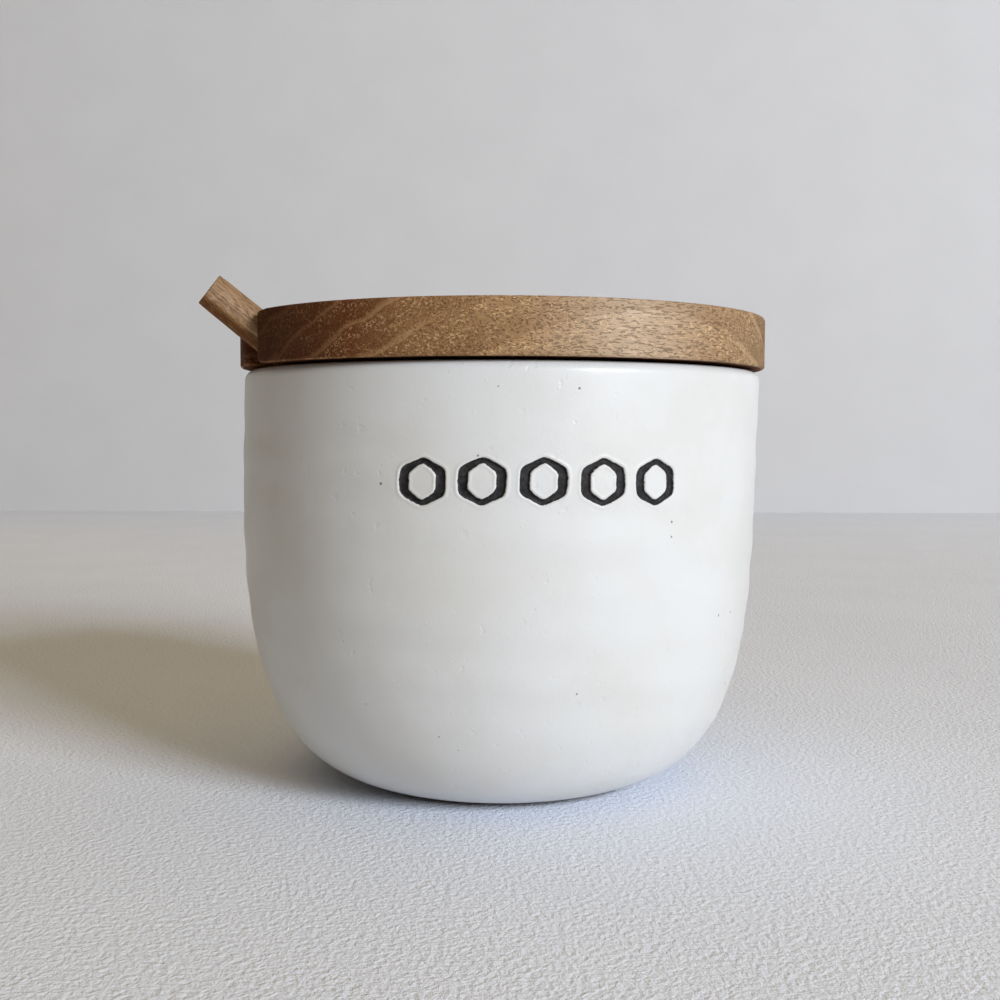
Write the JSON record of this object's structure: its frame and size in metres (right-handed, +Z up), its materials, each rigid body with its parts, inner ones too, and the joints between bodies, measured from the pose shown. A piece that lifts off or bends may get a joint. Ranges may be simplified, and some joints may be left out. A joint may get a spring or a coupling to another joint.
{
  "type": "honey pot",
  "caption": "Glazed stoneware pot with a rounded base, a notched wooden disc for a lid and a wooden stick leaning through the notch, for keeping and serving honey.",
  "frame": {"origin": "on the pot's own axis, at the flat foot that it stands on", "axes": "+Z up along the pot's axis, -Y towards the viewer of the picture, the dipper's outer end towards -X"},
  "size_m": [0.1089, 0.1058, 0.0979],
  "materials": {
    "stoneware_glaze": "satin, finely speckled",
    "lid_wood": "oiled, open grained",
    "dipper_wood": "plain sanded"
  },
  "bodies": {
    "root": {"pot": "stoneware_glaze", "lid": "lid_wood", "dipper": "dipper_wood"}
  },
  "joints": []
}
